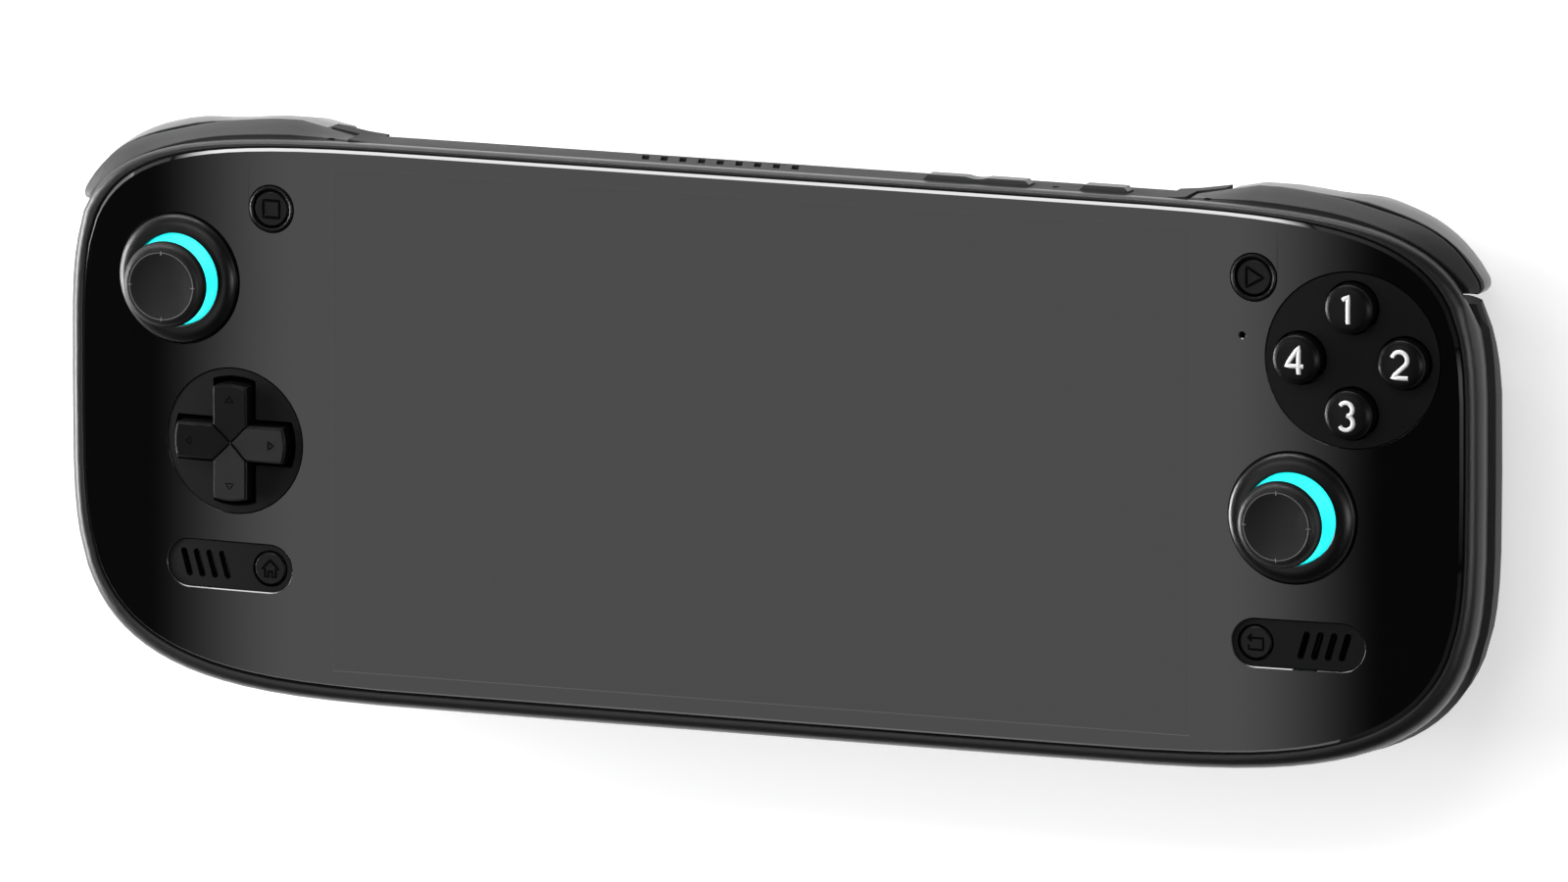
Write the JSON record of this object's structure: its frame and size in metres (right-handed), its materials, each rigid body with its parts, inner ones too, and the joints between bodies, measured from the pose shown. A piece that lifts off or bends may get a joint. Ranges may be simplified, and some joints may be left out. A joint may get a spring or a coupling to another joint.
{
  "type": "handheld game console",
  "caption": "Handheld game console: wide slab with an all-glass front, thumbsticks, direction pad, face buttons, shoulder keys and two rear grips, held in both hands.",
  "frame": {"origin": "Middle of the footprint, on the plane of the two grip pads on which the console lies screen up.", "axes": "+X to the right of the screen, +Y to its top edge with the vents and shoulder keys, +Z out of the screen."},
  "size_m": [0.2206, 0.0858, 0.0289],
  "materials": {
    "front_glass": "polished black-backed cover glass",
    "display": "dark display panel",
    "frame_black": "fine sand-blasted black plastic",
    "shell_black": "fine sand-blasted black plastic",
    "key_black": "satin black plastic",
    "control_black": "semi-gloss black plastic",
    "rubber_black": "fine grained rubber",
    "light_cyan": "translucent light guide",
    "steel": "bare steel",
    "aluminium": "bare aluminium",
    "copper": "bare copper",
    "board_green": "solder mask",
    "battery_wrap": "film wrap",
    "dark_plastic": "moulded plastic",
    "white_plastic": "moulded plastic",
    "silicone_grey": "silicone"
  },
  "bodies": {
    "console": {"front_glass": "front_glass", "display_panel": "display", "front_frame": "frame_black", "rear_shell": "shell_black", "mid_plate": "aluminium", "mainboard": "board_green", "battery": "battery_wrap", "fan_housing": "dark_plastic", "heatsink": "aluminium", "heat_pipe": "copper", "left_stick_collar": "control_black", "right_stick_collar": "control_black", "stick_light_rings": "light_cyan", "left_stick_housing": "steel", "right_stick_housing": "steel", "dpad_plate": "control_black", "face_plate": "control_black", "left_grille_plate": "control_black", "right_grille_plate": "control_black", "small_button_bezels": "control_black", "left_control_board": "board_green", "right_control_board": "board_green", "dpad_membrane": "silicone_grey", "face_membrane": "silicone_grey", "left_shoulder_bracket": "steel", "right_shoulder_bracket": "steel", "shoulder_pins": "steel", "left_trigger_spring": "steel", "right_trigger_spring": "steel", "speakers": "dark_plastic", "rumble_motors": "steel", "usb_port": "steel", "headphone_jack": "dark_plastic", "card_slot": "steel", "rear_screws": "steel"},
    "left_stick_carrier": {"left_stick_carrier": "white_plastic"},
    "left_stick_yoke": {"left_stick_yoke": "dark_plastic"},
    "left_stick": {"left_stick_lever": "dark_plastic", "left_stick_cap": "rubber_black"},
    "right_stick_carrier": {"right_stick_carrier": "white_plastic"},
    "right_stick_yoke": {"right_stick_yoke": "dark_plastic"},
    "right_stick": {"right_stick_lever": "dark_plastic", "right_stick_cap": "rubber_black"},
    "dpad_pivot": {"dpad_pivot": "steel"},
    "dpad": {"dpad": "control_black"},
    "face_button_top": {"face_button_top": "control_black"},
    "face_button_right": {"face_button_right": "control_black"},
    "face_button_bottom": {"face_button_bottom": "control_black"},
    "face_button_left": {"face_button_left": "control_black"},
    "select_button": {"select_button": "control_black"},
    "start_button": {"start_button": "control_black"},
    "home_button": {"home_button": "control_black"},
    "back_button": {"back_button": "control_black"},
    "left_bumper": {"left_bumper": "key_black"},
    "right_bumper": {"right_bumper": "key_black"},
    "left_trigger": {"left_trigger": "key_black"},
    "right_trigger": {"right_trigger": "key_black"},
    "volume_key": {"volume_key": "key_black"},
    "power_key": {"power_key": "key_black"},
    "fan_impeller": {"fan_impeller": "dark_plastic"}
  },
  "joints": [
    {"name": "left_stick_click", "type": "slide", "parent": "console", "child": "left_stick_carrier", "axis": [0, 0, -1], "range_m": [0, 0.0004], "stiffness_N_per_m": 900, "springref_m": -0.001},
    {"name": "left_stick_pitch", "type": "hinge", "parent": "left_stick_carrier", "child": "left_stick_yoke", "pos_m": [-0.0908, 0.01935, 0.015], "axis": [1, 0, 0], "range_deg": [-12, 12], "stiffness_Nm_per_rad": 0.02},
    {"name": "left_stick_roll", "type": "hinge", "parent": "left_stick_yoke", "child": "left_stick", "pos_m": [-0.0908, 0.01935, 0.015], "axis": [0, 1, 0], "range_deg": [-12, 12], "stiffness_Nm_per_rad": 0.02},
    {"name": "right_stick_click", "type": "slide", "parent": "console", "child": "right_stick_carrier", "axis": [0, 0, -1], "range_m": [0, 0.0004], "stiffness_N_per_m": 900, "springref_m": -0.001},
    {"name": "right_stick_pitch", "type": "hinge", "parent": "right_stick_carrier", "child": "right_stick_yoke", "pos_m": [0.082, -0.0042, 0.01557], "axis": [1, 0, 0], "range_deg": [-12, 12], "stiffness_Nm_per_rad": 0.02},
    {"name": "right_stick_roll", "type": "hinge", "parent": "right_stick_yoke", "child": "right_stick", "pos_m": [0.082, -0.0042, 0.01557], "axis": [0, 1, 0], "range_deg": [-12, 12], "stiffness_Nm_per_rad": 0.02},
    {"name": "dpad_pitch", "type": "hinge", "parent": "console", "child": "dpad_pivot", "pos_m": [-0.082, -0.0042, 0.01537], "axis": [1, 0, 0], "range_deg": [-4.5, 4.5], "stiffness_Nm_per_rad": 0.05},
    {"name": "dpad_roll", "type": "hinge", "parent": "dpad_pivot", "child": "dpad", "pos_m": [-0.082, -0.0042, 0.01537], "axis": [0, 1, 0], "range_deg": [-4.5, 4.5], "stiffness_Nm_per_rad": 0.05},
    {"name": "face_button_top_press", "type": "slide", "parent": "console", "child": "face_button_top", "axis": [0, 0, -1], "range_m": [0, 0.0013], "stiffness_N_per_m": 300, "springref_m": -0.001},
    {"name": "face_button_right_press", "type": "slide", "parent": "console", "child": "face_button_right", "axis": [0, 0, -1], "range_m": [0, 0.0013], "stiffness_N_per_m": 300, "springref_m": -0.001},
    {"name": "face_button_bottom_press", "type": "slide", "parent": "console", "child": "face_button_bottom", "axis": [0, 0, -1], "range_m": [0, 0.0013], "stiffness_N_per_m": 300, "springref_m": -0.001},
    {"name": "face_button_left_press", "type": "slide", "parent": "console", "child": "face_button_left", "axis": [0, 0, -1], "range_m": [0, 0.0013], "stiffness_N_per_m": 300, "springref_m": -0.001},
    {"name": "select_button_press", "type": "slide", "parent": "console", "child": "select_button", "axis": [0, 0, -1], "range_m": [0, 0.0004], "stiffness_N_per_m": 600, "springref_m": -0.0006},
    {"name": "start_button_press", "type": "slide", "parent": "console", "child": "start_button", "axis": [0, 0, -1], "range_m": [0, 0.0004], "stiffness_N_per_m": 600, "springref_m": -0.0006},
    {"name": "home_button_press", "type": "slide", "parent": "console", "child": "home_button", "axis": [0, 0, -1], "range_m": [0, 0.0004], "stiffness_N_per_m": 600, "springref_m": -0.0006},
    {"name": "back_button_press", "type": "slide", "parent": "console", "child": "back_button", "axis": [0, 0, -1], "range_m": [0, 0.0004], "stiffness_N_per_m": 600, "springref_m": -0.0006},
    {"name": "left_bumper_press", "type": "hinge", "parent": "console", "child": "left_bumper", "pos_m": [-0.0678, 0.0398, 0.017], "axis": [0, 0, 1], "range_deg": [0, 1.1], "stiffness_Nm_per_rad": 0.6, "springref_deg": -2.86},
    {"name": "left_trigger_pull", "type": "hinge", "parent": "console", "child": "left_trigger", "pos_m": [-0.087, 0.03515, 0.0115], "axis": [-0.9646, -0.2639, 0], "range_deg": [0, 14], "stiffness_Nm_per_rad": 0.05, "springref_deg": -17.19},
    {"name": "right_bumper_press", "type": "hinge", "parent": "console", "child": "right_bumper", "pos_m": [0.0678, 0.0398, 0.017], "axis": [0, 0, -1], "range_deg": [0, 1.1], "stiffness_Nm_per_rad": 0.6, "springref_deg": -2.86},
    {"name": "right_trigger_pull", "type": "hinge", "parent": "console", "child": "right_trigger", "pos_m": [0.087, 0.03515, 0.0115], "axis": [-0.9646, 0.2639, 0], "range_deg": [0, 14], "stiffness_Nm_per_rad": 0.05, "springref_deg": -17.19},
    {"name": "volume_rock", "type": "hinge", "parent": "console", "child": "volume_key", "pos_m": [0.0324, 0.0374, 0.0173], "axis": [0, 0, 1], "range_deg": [-2.5, 2.5], "stiffness_Nm_per_rad": 0.1},
    {"name": "power_press", "type": "slide", "parent": "console", "child": "power_key", "axis": [0, -1, 0], "range_m": [0, 0.0004], "stiffness_N_per_m": 600, "springref_m": -0.0006},
    {"name": "fan_spin", "type": "hinge", "parent": "console", "child": "fan_impeller", "pos_m": [-0.008, 0.0136, 0.0146], "axis": [0, 0, 1], "continuous": true}
  ]
}
